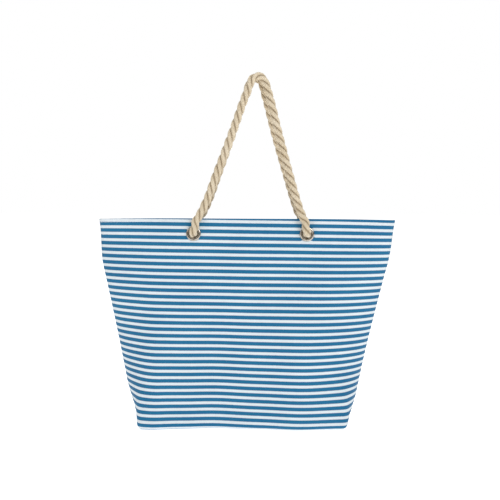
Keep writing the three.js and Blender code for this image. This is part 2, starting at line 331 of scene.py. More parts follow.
# How the standing bag settles: every layer of cloth goes through this.
def drape(points, setup=drapeSetup):
    points = np.asarray(points, float)
    x, y, z = points[..., 0], points[..., 1], points[..., 2]
    rise = np.clip(z / bag["height"], 0, 1)
    halfWidth = bag["baseHalfWidth"] + (bag["rimHalfWidth"] - bag["baseHalfWidth"]) * rise
    halfDepth = bag["baseHalfDepth"] + (bag["rimHalfDepth"] - bag["baseHalfDepth"]) * rise
    wide = np.clip(x / halfWidth, -1.05, 1.05)
    lean = setup["shiftBase"] + (setup["shiftRim"] - setup["shiftBase"]) * rise
    belly = smoothStep(z, bag["height"], setup["swellTop"])
    flare = smoothStep(z, setup["flareLow"], bag["height"])
    left = setup["leftSwell"] * belly * smoothStep(z, setup["swellFoot"], setup["leftSwellLow"])
    right = setup["rightSwell"] * belly * smoothStep(z, setup["swellFoot"], setup["rightSwellLow"])
    left = left + setup["leftFlare"] * flare
    right = right + setup["rightFlare"] * flare
    swell = np.where(wide < 0, -left, right) * np.abs(wide) ** 3
    deep = np.abs(y) / halfDepth
    fade = smoothStep(z, setup["waveTop"], setup["waveFull"]) * smoothStep(deep, *setup["waveFace"])
    frontWave = sum(out * np.exp(-(((x - at) / reach) ** 2)) for at, reach, out in setup["frontWaves"])
    rearWave = sum(out * np.exp(-(((x - at) / reach) ** 2)) for at, reach, out in setup["rearWaves"])
    wave = np.where(y < 0, -frontWave, rearWave) * fade
    ripple = sum(np.sin(points @ way + phase) for way, phase in zip(rippleWays, ripplePhases))
    still = smoothStep(z, bag["height"], setup["rippleTop"]) * smoothStep(z, 0.0, setup["rippleLow"])
    ripple *= setup["ripple"] * still / 2
    moved = points.copy()
    moved[..., 0] += lean + swell + ripple * wide
    moved[..., 1] += wave + ripple * np.sign(y) * smoothStep(deep, *setup["rippleFace"])
    dip = smoothStep(z, bag["height"] - setup["rearDipReach"], bag["height"])
    dip = dip * smoothStep(y, 0.0, setup["rearDipFade"])
    moved[..., 2] -= setup["cornerDrop"] * wide ** 4 * rise ** 3 + setup["rearDip"] * dip
    return moved


# Meshes and materials are built with these.
def newPiece(name, mesh):
    piece = bpy.data.objects.new(name, mesh)
    bpy.context.scene.collection.objects.link(piece)
    return piece


def smoothShade(mesh):
    mesh.polygons.foreach_set("use_smooth", np.ones(len(mesh.polygons), bool))
    mesh.update()


# Turns an object with modifiers into a plain mesh piece.
def settle(piece):
    bpy.context.view_layer.update()
    depsgraph = bpy.context.evaluated_depsgraph_get()
    mesh = bpy.data.meshes.new_from_object(piece.evaluated_get(depsgraph), depsgraph=depsgraph)
    name = piece.name
    old = piece.data
    bpy.data.objects.remove(piece)
    if old.users == 0:
        bpy.data.meshes.remove(old)
    mesh.name = name
    return newPiece(name, mesh)


def finishPiece(piece, body, material=None):
    if material:
        piece.data.materials.clear()
        piece.data.materials.append(material)
    smoothShade(piece.data)
    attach(piece, body)
    return piece


def fromBytes(red, green, blue):
    linear = [((c / 255 + 0.055) / 1.055) ** 2.4 if c > 10 else c / 3295 for c in (red, green, blue)]
    return (*linear, 1)


def newGeometryTree(name, sizes):
    tree = bpy.data.node_groups.new(name, "GeometryNodeTree")
    tree.interface.new_socket("Geometry", in_out="INPUT", socket_type="NodeSocketGeometry")
    tree.interface.new_socket("Geometry", in_out="OUTPUT", socket_type="NodeSocketGeometry")
    for sizeName, value in sizes.items():
        kind = "NodeSocketInt" if isinstance(value, int) else "NodeSocketFloat"
        tree.interface.new_socket(sizeName, in_out="INPUT", socket_type=kind).default_value = value
    tree.interface.new_socket("Material", in_out="INPUT", socket_type="NodeSocketMaterial")
    start = addNode(tree, "NodeGroupInput")
    end = addNode(tree, "NodeGroupOutput")
    return tree, start.outputs, end.inputs


# Ends a tree in plain geometry with its material, as the finished mesh needs.
def closeTree(tree, geometry, material, outputs):
    realize = addNode(tree, "GeometryNodeRealizeInstances", {0: geometry})
    given = {"Geometry": realize.outputs[0], "Material": material}
    tree.links.new(addNode(tree, "GeometryNodeSetMaterial", given).outputs[0], outputs[0])


def grow(piece, tree, sizes):
    modifier = piece.modifiers.new(tree.name, "NODES")
    modifier.node_group = tree
    inputs = [item for item in tree.interface.items_tree if item.in_out == "INPUT"]
    identifiers = {item.name: item.identifier for item in inputs}
    for sizeName, value in sizes.items():
        modifier[identifiers[sizeName]] = value
    return settle(piece)


def lineObject(name, runs):
    mesh = bpy.data.meshes.new(name)
    points = np.concatenate(runs)
    edges = []
    start = 0
    for run in runs:
        edges += [(start + k, start + k + 1) for k in range(len(run) - 1)]
        start += len(run)
    mesh.from_pydata([tuple(p) for p in points], edges, [])
    return newPiece(name, mesh)


# Rope: three strands of spun yarn, laid round each other along a line.
ropeSetup = {
    "radius": 0.0075,
    "strandRadius": 0.0038,
    "strandOffset": 0.0037,
    "layLength": -0.052,  # negative turns left-handed, as S-laid rope does
    "yarnLay": 0.046,  # the yarns are spun against the lay
    "yarns": 8,
    "yarnRelief": 0.20,
    "yarnLevel": 0.7,  # share of a yarn ridge's height that lies at the strand's radius
    "sides": 32,  # of a strand
    "step": 0.0018,
    "pointGap": 0.003,  # between the points of its line
    "fineGap": 0.0005,  # the same, where the grooves are marked
    "crown": (0.60, 0.93),  # shares of the radius: groove floor and strand crown
    "throatInset": 0.0068,  # face of the canvas to the knot's side of the eyelet
    "bend": 0.0105,  # the rope turns upwards within this distance of its corner
    "lean": 0.149,  # the handles lean over the bag
    "fan": 0.35,  # and their legs towards each other
    "axis": (0.10513, 0.05012, 0.37181),  # where the turning axis passes the rope
}
handleRoutes = {  # each handle from its left end over the peak to its right end, across and up, in metres
    front: [
        (-0.0995, 0.394), (-0.0905, 0.409), (-0.0775, 0.437), (-0.0625, 0.478), (-0.046, 0.521),
        (-0.030, 0.564), (-0.0145, 0.608), (-0.0060, 0.629), (-0.0012, 0.643), (0.004, 0.6512),
        (0.0123, 0.6545), (0.0206, 0.6512), (0.0258, 0.643), (0.0303, 0.629), (0.0364, 0.608),
        (0.0475, 0.564), (0.059, 0.521), (0.071, 0.478), (0.083, 0.437), (0.0925, 0.409), (0.100, 0.394),
    ],
    rear: [
        (-0.0995, 0.394), (-0.0905, 0.409), (-0.078, 0.437), (-0.063, 0.478), (-0.047, 0.521),
        (-0.0315, 0.564), (-0.016, 0.608), (-0.0080, 0.629), (-0.0034, 0.643), (0.0014, 0.6505),
        (0.0088, 0.6535), (0.0162, 0.6505), (0.0210, 0.643), (0.0250, 0.629), (0.031, 0.608),
        (0.043, 0.564), (0.056, 0.521), (0.0695, 0.478), (0.0825, 0.437), (0.0925, 0.409), (0.100, 0.394),
    ],
}


def ropeSizes(setup, length):
    return {
        "Strand Radius": setup["strandRadius"],
        "Strand Offset": setup["strandOffset"],
        "Lay Length": setup["layLength"],
        "Yarn Lay": setup["yarnLay"],
        "Yarn Relief": setup["yarnRelief"],
        "Yarns": setup["yarns"],
        "Rings": round(length / setup["step"]),
    }


def makeRopeTree(setup):
    tree, given, made = newGeometryTree("layRope", ropeSizes(setup, 1.0))
    line = addNode(tree, "GeometryNodeMeshToCurve", {"Mesh": given["Geometry"]})
    even = addNode(tree, "GeometryNodeResampleCurve", {"Curve": line.outputs[0], "Count": given["Rings"]})
    normal = addNode(tree, "GeometryNodeInputNormal").outputs[0]
    tangent = addNode(tree, "GeometryNodeInputTangent").outputs[0]
    length = addNode(tree, "GeometryNodeSplineParameter").outputs["Length"]
    sideways = vectorMaths(tree, "CROSS_PRODUCT", tangent, normal)
    turns = maths(tree, "MULTIPLY", maths(tree, "DIVIDE", length, given["Lay Length"]), 2 * math.pi)
    join = addNode(tree, "GeometryNodeJoinGeometry")
    for k in range(3):
        angle = maths(tree, "ADD", turns, k * 2 * math.pi / 3)
        ahead = scaled(tree, normal, maths(tree, "COSINE", angle))
        aside = scaled(tree, sideways, maths(tree, "SINE", angle))
        offset = scaled(tree, vectorMaths(tree, "ADD", ahead, aside), given["Strand Offset"])
        moved = {"Geometry": even.outputs[0], "Offset": offset}
        tree.links.new(addNode(tree, "GeometryNodeSetPosition", moved).outputs[0], join.inputs[0])
    strandLength = addNode(tree, "GeometryNodeSplineParameter").outputs["Length"]
    spin = maths(tree, "MULTIPLY", maths(tree, "DIVIDE", strandLength, given["Yarn Lay"]), 2 * math.pi)
    tilt = addNode(tree, "GeometryNodeSetCurveTilt", {0: join.outputs[0], "Tilt": spin})
    sizes = {"Resolution": setup["sides"], "Radius": given["Strand Radius"]}
    section = addNode(tree, "GeometryNodeCurvePrimitiveCircle", sizes)
    place = addNode(tree, "GeometryNodeInputPosition").outputs[0]
    split = addNode(tree, "ShaderNodeSeparateXYZ", {0: place})
    around = maths(tree, "ARCTAN2", split.outputs["Y"], split.outputs["X"])
    halfTurns = maths(tree, "MULTIPLY", around, maths(tree, "DIVIDE", given["Yarns"], 2.0))
    lobes = maths(tree, "ABSOLUTE", maths(tree, "COSINE", halfTurns))
    raised = maths(tree, "SUBTRACT", lobes, setup["yarnLevel"])
    relief = scaled(tree, place, maths(tree, "MULTIPLY", raised, given["Yarn Relief"]))
    ribbed = addNode(tree, "GeometryNodeSetPosition", {"Geometry": section.outputs[0], "Offset": relief})
    # the valleys between the yarns are stored so that the rope's material can paint shade into them
    marks = {"Geometry": ribbed.outputs[0], "Name": "yarnValleyShade", "Value": maths(tree, "SUBTRACT", 1.0, lobes)}
    marked = addNode(tree, "GeometryNodeStoreNamedAttribute", marks, data_type="FLOAT", domain="POINT")
    drawn = {"Curve": tilt.outputs[0], "Profile Curve": marked.outputs[0], "Fill Caps": True}
    closeTree(tree, addNode(tree, "GeometryNodeCurveToMesh", drawn).outputs[0], given["Material"], made)
    return tree


def throughPoints(points, step):
    points = [np.asarray(p, float) for p in points]
    points = [2 * points[0] - points[1], *points, 2 * points[-1] - points[-2]]
    line = [points[1]]
    for p0, p1, p2, p3 in zip(points, points[1:], points[2:], points[3:]):
        t1 = np.linalg.norm(p1 - p0) ** 0.5
        t2 = t1 + np.linalg.norm(p2 - p1) ** 0.5
        t3 = t2 + np.linalg.norm(p3 - p2) ** 0.5
        for t in np.linspace(t1, t2, max(2, round(np.linalg.norm(p2 - p1) / step) + 1))[1:]:
            a1 = p0 + (p1 - p0) * (t / t1)
            a2 = p1 + (p2 - p1) * ((t - t1) / (t2 - t1))
            a3 = p2 + (p3 - p2) * ((t - t2) / (t3 - t2))
            b1 = a1 + (a2 - a1) * (t / t2)
            b2 = a2 + (a3 - a2) * ((t - t1) / (t3 - t1))
            line.append(b1 + (b2 - b1) * ((t - t1) / (t2 - t1)))
    return np.array(line)


grommetSetup = {
    "drop": 0.028,  # below the rim
    "halfSpacing": 0.1045,
    "share": 0.37,  # first guess of its place between the middle and the side seam
    "tries": 12,
    "patch": (0.02, 0.006),  # the piece of cloth that sets the way it faces
}


# Where each rope passes through the settled canvas: middle of the hole, and the way out of the bag.
def grommetPlace(side, hand, setup):
    height = bag["height"] - setup["drop"]
    across = hand * setup["share"]
    for attempt in range(setup["tries"]):
        miss = hand * setup["halfSpacing"] - drape(facePoint(side, across, height))[0]
        across += miss * setup["share"] / setup["halfSpacing"]
    point = drape(facePoint(side, across, height))
    reach, rise = setup["patch"]
    wide = drape(facePoint(side, across + reach, height)) - drape(facePoint(side, across - reach, height))
    tall = drape(facePoint(side, across, height + rise)) - drape(facePoint(side, across, height - rise))
    outward = np.cross(wide, tall) * -side
    return point, outward / np.linalg.norm(outward)


grommets = {}
for side in (front, rear):
    for hand in hands.values():
        grommets[(side, hand)] = grommetPlace(side, hand, grommetSetup)


# Out through the eyelet, round the turning axis and up to the start of the handle.
def throatLine(side, hand, setup):
    point, outward = grommets[(side, hand)]
    corner = np.array([hand * setup["axis"][0], side * setup["axis"][1], setup["axis"][2]])
    leave = corner - outward * setup["bend"]
    upward = np.array([-hand * setup["fan"], -side * setup["lean"], 1.0])
    upward /= np.linalg.norm(upward)
    rise = corner + upward * setup["bend"]
    inner = point - outward * setup["throatInset"]
    shares = np.linspace(0, 1, 9)
    bend = [(1 - t) ** 2 * leave + 2 * t * (1 - t) * corner + t * t * rise for t in shares]
    return [inner, (inner + leave) / 2, *bend]


def handleLine(side, setup):
    axisY, axisZ = side * setup["axis"][1], setup["axis"][2]
    middle = [(x, axisY - side * (z - axisZ) * setup["lean"], z) for x, z in handleRoutes[side]]
    left, right = throatLine(side, -1, setup), throatLine(side, 1, setup)
    return throughPoints([*left, *middle, *right[::-1]], setup["pointGap"])


# How deep each point lies between the strands, from 0 on the crowns to 1 in the grooves; the rope's
# material uses this depth to paint shade into the grooves.
def markGrooves(mesh, line, setup):
    near = kdtree.KDTree(len(line))
    for k, point in enumerate(line):
        near.insert(point, k)
    near.balance()
    spots = np.empty(len(mesh.vertices) * 3)
    mesh.vertices.foreach_get("co", spots)
    spots = spots.reshape(-1, 3)
    away = np.array([near.find(p)[2] for p in spots])
    floor, crown = (setup["radius"] * share for share in setup["crown"])
    depth = 1 - smoothStep(away, floor, crown)
    marks = mesh.attributes.new("grooveShade", "FLOAT", "POINT")
    marks.data.foreach_set("value", depth.astype(np.float32))


def layRope(name, line, setup, material):
    sizes = ropeSizes(setup, runningLength(line)[-1]) | {"Material": material}
    rope = grow(lineObject(name, [line]), ropeTree, sizes)
    markGrooves(rope.data, throughPoints(line, setup["fineGap"]), setup)
    return rope


# Shared effects.
def newEffect(name, inputs, outputs):
    tree = bpy.data.node_groups.new(name, "ShaderNodeTree")
    kinds = {float: "NodeSocketFloat", tuple: "NodeSocketVector"}
    for inputName, value in inputs.items():
        socket = tree.interface.new_socket(inputName, in_out="INPUT", socket_type=kinds[type(value)])
        socket.default_value = value
    for outputName in outputs:
        tree.interface.new_socket(outputName, in_out="OUTPUT", socket_type="NodeSocketFloat")
    return tree, addNode(tree, "NodeGroupInput").outputs, addNode(tree, "NodeGroupOutput").inputs


def noiseAt(tree, vector, scale, detail=3.0):
    given = {"Vector": vector, "Scale": scale, "Detail": detail}
    return addNode(tree, "ShaderNodeTexNoise", given).outputs["Fac"]


# Plain weave: threads over and under each other, each with its own shade.
def makeWeave():
    sizes = {"Vector": (0.0, 0.0, 0.0), "Threads": 1500.0}
    tree, given, made = newEffect("plainWeave", sizes, ["Height", "Thread"])
    split = addNode(tree, "ShaderNodeSeparateXYZ", {0: scaled(tree, given["Vector"], given["Threads"])})
    cells, ridges = {}, {}
    for axis in ("X", "Y"):
        cells[axis] = maths(tree, "FLOOR", split.outputs[axis])
        within = maths(tree, "FRACT", split.outputs[axis])
        ridges[axis] = maths(tree, "SINE", maths(tree, "MULTIPLY", within, math.pi))
    parity = maths(tree, "FLOORED_MODULO", maths(tree, "ADD", cells["X"], cells["Y"]), 2.0)
    heights, shades = {"Factor": parity}, {"Factor": parity}
    stretches = {"X": (1.0, 0.03, 1.0), "Y": (0.03, 1.0, 1.0)}
    for socketName, axis, other in (("A", "X", "Y"), ("B", "Y", "X")):
        over = maths(tree, "MULTIPLY_ADD", ridges[other], 0.6, 0.4)
        heights[socketName] = maths(tree, "MULTIPLY", ridges[axis], over)
        stretched = vectorMaths(tree, "MULTIPLY", given["Vector"], stretches[axis])
        shades[socketName] = noiseAt(tree, stretched, given["Threads"], 1.0)
    tree.links.new(addNode(tree, "ShaderNodeMix", heights).outputs["Result"], made["Height"])
    tree.links.new(addNode(tree, "ShaderNodeMix", shades).outputs["Result"], made["Thread"])
    return tree


# Soft uneven wear and handling marks, in two sizes.
def makeMottle():
    sizes = {"Vector": (0.0, 0.0, 0.0), "Broad": 9.0, "Fine": 140.0}
    tree, given, made = newEffect("mottle", sizes, ["Mask", "Grain"])
    tree.links.new(noiseAt(tree, given["Vector"], given["Broad"], 3.0), made["Mask"])
    tree.links.new(noiseAt(tree, given["Vector"], given["Fine"], 4.0), made["Grain"])
    return tree


weave, mottle = makeWeave(), makeMottle()


def useEffect(tree, effect, vector, **sizes):
    node = addNode(tree, "ShaderNodeGroup", node_tree=effect)
    tree.links.new(vector, node.inputs["Vector"])
    for sizeName, value in sizes.items():
        node.inputs[sizeName].default_value = value
    return node.outputs


def mixColours(tree, factor, first, second, blend="MIX"):
    given = {"Factor": factor, "A": first, "B": second}
    node = addNode(tree, "ShaderNodeMix", given, data_type="RGBA", blend_type=blend)
    return node.outputs["Result"]


# A look's two tones, mixed by a value that runs between low and high.
def tones(tree, value, low, high, first, second):
    return mixColours(tree, ranged(tree, value, low, high, 0.0, 1.0), fromBytes(*first), fromBytes(*second))


def newMaterial(name, roughness, metallic=0.0, sheen=0.0):
    material = bpy.data.materials.new(name)
    material.use_nodes = True
    shader = material.node_tree.nodes["Principled BSDF"]
    shader.inputs["Roughness"].default_value = roughness
    shader.inputs["Metallic"].default_value = metallic
    shader.inputs["Sheen Weight"].default_value = sheen
    shader.inputs["Sheen Roughness"].default_value = 0.5
    shader.inputs["Specular IOR Level"].default_value = 0.5 if metallic else 0.22
    return material, material.node_tree, shader


def bumpFrom(tree, height, strength, distance, shader):
    bump = addNode(tree, "ShaderNodeBump", {"Strength": strength, "Distance": distance, "Height": height})
    tree.links.new(bump.outputs[0], shader.inputs["Normal"])


canvasLook = {
    "blue": (20, 97, 142),
    "blueWorn": (40, 118, 157),
    "white": (232, 239, 244),
    "whiteWorn": (214, 224, 230),
    "pitch": 0.01225,
    "blueShare": 0.565,
    "firstStripe": 0.0083,  # rim to the first whole blue stripe
    "tilt": 0.010,  # the stripes run a little downhill
    "waver": 0.0007,
    "edge": 0.018,  # softness of the stripes' edges, as a share of the pitch
    "threads": 1500.0,  # per metre
    "gapShade": 0.82,  # between the threads
    "mottle": (11.0, 420.0),
    "bump": 0.35,
}


def makeCanvasMaterial(look):
    material, tree, shader = newMaterial("stripedCanvas", 0.86, sheen=0.12)
    place = addNode(tree, "ShaderNodeUVMap", uv_map="cloth").outputs["UV"]
    split = addNode(tree, "ShaderNodeSeparateXYZ", {0: place})
    threads = useEffect(tree, weave, place, Threads=look["threads"])
    broad, fine = look["mottle"]
    wear = useEffect(tree, mottle, place, Broad=broad, Fine=fine)
    down = maths(tree, "MULTIPLY_ADD", split.outputs["X"], -look["tilt"], split.outputs["Y"])
    waver = maths(tree, "MULTIPLY", maths(tree, "SUBTRACT", wear["Grain"], 0.5), look["waver"])
    down = maths(tree, "ADD", maths(tree, "SUBTRACT", down, look["firstStripe"]), waver)
    phase = maths(tree, "FRACT", maths(tree, "DIVIDE", down, look["pitch"]))
    middle = look["blueShare"] / 2
    away = maths(tree, "ABSOLUTE", maths(tree, "SUBTRACT", phase, middle))
    away = maths(tree, "MINIMUM", away, maths(tree, "SUBTRACT", 1.0, away))
    isBlue = ranged(tree, away, middle + look["edge"], middle - look["edge"], 0.0, 1.0)
    fleck = maths(tree, "MULTIPLY", threads["Thread"], 0.5)
    tone = maths(tree, "MULTIPLY_ADD", wear["Mask"], 0.5, fleck)
    blue = tones(tree, tone, 0.3, 0.75, look["blue"], look["blueWorn"])
    white = tones(tree, tone, 0.75, 0.3, look["white"], look["whiteWorn"])
    stripes = mixColours(tree, isBlue, white, blue)
    gap = ranged(tree, threads["Height"], 0.0, 0.5, look["gapShade"], 1.0)
    shade = addNode(tree, "ShaderNodeCombineColor", {channel: gap for channel in ("Red", "Green", "Blue")})
    colour = mixColours(tree, 1.0, stripes, shade.outputs[0], "MULTIPLY")
    tree.links.new(colour, shader.inputs["Base Color"])
    tree.links.new(ranged(tree, wear["Mask"], 0.3, 0.7, 0.8, 0.95), shader.inputs["Roughness"])
    relief = maths(tree, "MULTIPLY_ADD", wear["Grain"], 0.4, threads["Height"])
    bumpFrom(tree, relief, look["bump"], 0.0003, shader)
    return material


clothLooks = {
    "naturalLining": {
        "light": (226, 215, 193),
        "dark": (205, 192, 168),
        "threads": 2000.0,
        "bump": 0.25,
    },
    "paleFacing": {
        "light": (236, 232, 222),
        "dark": (216, 210, 198),
        "threads": 1500.0,
        "bump": 0.35,
    },
}


def makeClothMaterial(name, look):
    material, tree, shader = newMaterial(name, 0.9, sheen=0.1)
    place = addNode(tree, "ShaderNodeUVMap", uv_map="cloth").outputs["UV"]
    threads = useEffect(tree, weave, place, Threads=look["threads"])
    wear = useEffect(tree, mottle, place, Broad=16.0, Fine=500.0)
    tone = maths(tree, "MULTIPLY_ADD", threads["Thread"], 0.5, maths(tree, "MULTIPLY", wear["Mask"], 0.5))
    colour = tones(tree, tone, 0.3, 0.72, look["dark"], look["light"])
    tree.links.new(colour, shader.inputs["Base Color"])
    tree.links.new(ranged(tree, wear["Grain"], 0.3, 0.7, 0.85, 0.95), shader.inputs["Roughness"])
    bumpFrom(tree, threads["Height"], look["bump"], 0.00025, shader)
    return material


yarnLooks = {
    "cottonRope": {
        "light": (232, 219, 195),
        "dark": (211, 194, 164),
        # painted shade: the colour that the grooves between the strands and between the yarns are darkened
        # towards
        "grooveShade": (138, 114, 80),
        "yarnShadeShare": 0.26,  # how much of the painted shade colour darkens the valleys between the yarns
        # share of painted shade in the grooves between the strands
        "strandShadeShare": 0.72,
        "scale": 300.0,
        "bump": 0.5,
    },
    "sewingThread": {"light": (244, 244, 240), "dark": (224, 226, 224), "scale": 1500.0, "bump": 0.2},
    "liningThread": {"light": (226, 216, 196), "dark": (200, 186, 160), "scale": 1500.0, "bump": 0.2},
}


def makeYarnMaterial(name, look):
    material, tree, shader = newMaterial(name, 0.92, sheen=0.25)
    place = addNode(tree, "ShaderNodeTexCoord").outputs["Object"]
    marks = useEffect(tree, mottle, place, Broad=look["scale"] / 8, Fine=look["scale"] * 3)
    tone = maths(tree, "MULTIPLY_ADD", marks["Grain"], 0.5, maths(tree, "MULTIPLY", marks["Mask"], 0.5))
    colour = tones(tree, tone, 0.34, 0.62, look["dark"], look["light"])
    # Painted shade: the rope is darkened in the grooves between its strands and in the valleys between its
    # yarns.
    if "grooveShade" in look:
        grooveShade = addNode(tree, "ShaderNodeAttribute", attribute_name="grooveShade").outputs["Fac"]
        yarnValleyShade = addNode(tree, "ShaderNodeAttribute", attribute_name="yarnValleyShade").outputs["Fac"]
        shadow = fromBytes(*look["grooveShade"])
        colour = mixColours(tree, maths(tree, "MULTIPLY", yarnValleyShade, look["yarnShadeShare"]), colour, shadow)
        colour = mixColours(tree, maths(tree, "MULTIPLY", grooveShade, look["strandShadeShare"]), colour, shadow)
    tree.links.new(colour, shader.inputs["Base Color"])
    tree.links.new(ranged(tree, marks["Grain"], 0.3, 0.7, 0.85, 1.0), shader.inputs["Roughness"])
    bumpFrom(tree, marks["Grain"], look["bump"], 0.0003, shader)
    return material


metalLook = {"bright": (186, 180, 170), "dull": (132, 120, 104), "roughness": (0.08, 0.22)}


def makeMetalMaterial(name, look):
    material, tree, shader = newMaterial(name, look["roughness"][0], metallic=1.0)
    place = addNode(tree, "ShaderNodeTexCoord").outputs["Object"]
    marks = useEffect(tree, mottle, place, Broad=90.0, Fine=1400.0)
    colour = tones(tree, marks["Mask"], 0.45, 0.75, look["bright"], look["dull"])
    tree.links.new(colour, shader.inputs["Base Color"])
    tree.links.new(ranged(tree, marks["Grain"], 0.35, 0.7, *look["roughness"]), shader.inputs["Roughness"])
    bumpFrom(tree, marks["Grain"], 0.05, 0.0002, shader)
    return material


canvasMaterial = makeCanvasMaterial(canvasLook)
liningMaterial = makeClothMaterial("naturalLining", clothLooks["naturalLining"])
facingMaterial = makeClothMaterial("paleFacing", clothLooks["paleFacing"])
ropeMaterial = makeYarnMaterial("cottonRope", yarnLooks["cottonRope"])
threadMaterial = makeYarnMaterial("sewingThread", yarnLooks["sewingThread"])
liningThreadMaterial = makeYarnMaterial("liningThread", yarnLooks["liningThread"])
nickelMaterial = makeMetalMaterial("polishedNickel", metalLook)
print("materials are mixed")

ropeTree = makeRopeTree(ropeSetup)
handleLines = {side: handleLine(side, ropeSetup) for side in (front, rear)}
handles = {}
for side in (front, rear):
    handles[side] = layRope(sideNames[side] + "_rope", handleLines[side], ropeSetup, ropeMaterial)
    smoothShade(handles[side].data)
    print(sideNames[side], "rope is laid,", len(handles[side].data.polygons), "faces")

# The cloth: panels, facings, linings and the pocket.
clothGrid = {
    "columns": (16, 8, 96, 8, 16),  # seam to fold, round the fold, across the face and back
    "rows": 96,
    "rollRows": 6,
    "facingRows": 22,
    "seamDip": 0.0016,  # the side seam sits in a shallow valley
    "seamReach": 0.005,
    "holeRadius": 0.0092,
    "holeClear": 0.0082,  # cloth nearer than this to a hole's middle is cut out
    "holeEdge": 0.017,  # and the cut edge within this reach is drawn to the hole's round
    "holeNear": 0.02,
    "weld": 0.00004,  # points closer than this become one
    "foldGap": 0.00005,  # between the wall and its hem
}


def stops(marks, counts):
    runs = [np.linspace(a, b, n, endpoint=False) for a, b, n in zip(marks, marks[1:], counts)]
    return np.concatenate([*runs, [marks[-1]]])


columns = stops([-1, -foldEnd, -foldStart, foldStart, foldEnd, 1], clothGrid["columns"])
seamNear = 1 - smoothStep((1 - np.abs(columns)) * halfLength, 0, clothGrid["seamReach"])
seamPull = clothGrid["seamDip"] * seamNear


# Rows of points from the top edge down a wall and round the roll to the base,
# with their distance from the rim.
def wallRows(side, inset, top, bottom=None, rows=None):
    roll = bag["bottomRadius"]
    slope = bag["wallLength"] / bag["height"]
    low = roll if bottom is None else bottom
    heights = np.linspace(top, low, rows or clothGrid["rows"])
    points = [layerPoint(side, columns, z, inset + seamPull) for z in heights]
    runs = [(bag["height"] - z) * slope for z in heights]
    if bottom is not None:
        return np.array(points), np.array(runs)
    foot = layerPoint(side, columns, roll, 0.0)
    centre = rollCentres(side)
    for turn in np.linspace(0, math.pi / 2, clothGrid["rollRows"] + 1)[1:]:
        reach = (1 - (inset + seamPull) / roll)[:, None] * math.cos(turn)
        row = centre + (foot - centre) * reach
        row[:, 2] = roll - (roll - inset) * math.sin(turn)
        points.append(row)
        runs.append(runs[len(heights) - 1] + (roll - inset) * turn)
    return np.array(points), np.array(runs)


# Middle line of the roll between the walls and the base, which is also the edge of the flat base.
def rollCentres(side):
    roll = bag["bottomRadius"]
    lowX, lowY = outlineAt(baseOutline, baseRun, columns)
    x = np.minimum(lowX, bag["baseHalfWidth"] - roll) * np.sign(columns)
    y = np.maximum(-lowY, 0)
    y = np.minimum(y, bag["baseHalfDepth"] - roll) * side
    y = np.where(np.abs(columns) > seamFrom, side * bag["seamGap"], y)
    return np.stack([x, y, np.full_like(x, roll)], 1)


def baseRows(side, inset, start):
    count = clothGrid["columns"][0]
    deep = bag["baseHalfDepth"] - bag["bottomRadius"]
    flat = np.abs(columns) <= foldStart + 1e-9
    x = rollCentres(side)[flat, 0]
    fractions = np.linspace(1, 0, count + 1)
    points = []
    for fraction in fractions:
        y = max(deep * fraction, bag["seamGap"]) * side
        points.append(np.stack([x, np.full_like(x, y), np.full_like(x, inset)], 1))
    runs = [start + deep * (1 - fraction) for fraction in fractions]
    return np.array(points), np.array(runs), columns[flat]


# Joins grids of points into one sheet, with a "cloth" UV map in metres.
def sheetMesh(name, grids, side):
    points, faces, marks = [], [], []
    start = 0
    for grid, runs, across in grids:
        high, wide = grid.shape[:2]
        points.append(grid.reshape(-1, 3))
        u, v = np.meshgrid(across * halfLength, runs)
        marks.append(np.stack([u, v], -1).reshape(-1, 2))
        for j in range(high - 1):
            for i in range(wide - 1):
                a = start + j * wide + i
                quad = (a, a + wide, a + wide + 1, a + 1)
                faces.append(quad if side == front else quad[::-1])
        start += high * wide
    points, marks = np.concatenate(points), np.concatenate(marks)
    mesh = bpy.data.meshes.new(name)
    mesh.from_pydata(points.tolist(), [], faces)
    layer = mesh.uv_layers.new(name="cloth")
    corners = np.zeros(len(mesh.loops), int)
    mesh.loops.foreach_get("vertex_index", corners)
    layer.data.foreach_set("uv", marks[corners].ravel())
    return mesh


# From an eyelet's axis to a point, square to the axis.
def offAxis(point, middle, outward):
    return (point - middle) - outward * (point - middle).dot(outward)


def openHoles(mesh, side, setup):
    shape = bmesh.new()
    shape.from_mesh(mesh)
    bmesh.ops.remove_doubles(shape, verts=shape.verts, dist=setup["weld"])
    for hand in hands.values():
        middle, outward = (Vector(v) for v in grommets[(side, hand)])
        near = [v for v in shape.verts if (v.co - middle).length < setup["holeNear"]]
        gone = [v for v in near if offAxis(v.co, middle, outward).length < setup["holeClear"]]
        if not gone:
            continue
        bmesh.ops.delete(shape, geom=gone, context="VERTS")
        for vertex in shape.verts:
            if vertex.is_boundary and (vertex.co - middle).length < setup["holeEdge"]:
                off = offAxis(vertex.co, middle, outward)
                vertex.co += off.normalized() * (setup["holeRadius"] - off.length)
    shape.to_mesh(mesh)
    shape.free()


def makeSheet(name, grids, side, thickness, material, holes=True):
    draped = [(drape(grid), runs, across) for grid, runs, across in grids]
    mesh = sheetMesh(name, draped, side)
    if holes:
        openHoles(mesh, side, clothGrid)
    mesh.materials.append(material)
    piece = newPiece(name, mesh)
    thicken = piece.modifiers.new("thickness", "SOLIDIFY")
    thicken.thickness = thickness
    thicken.offset = -1
    return settle(piece)


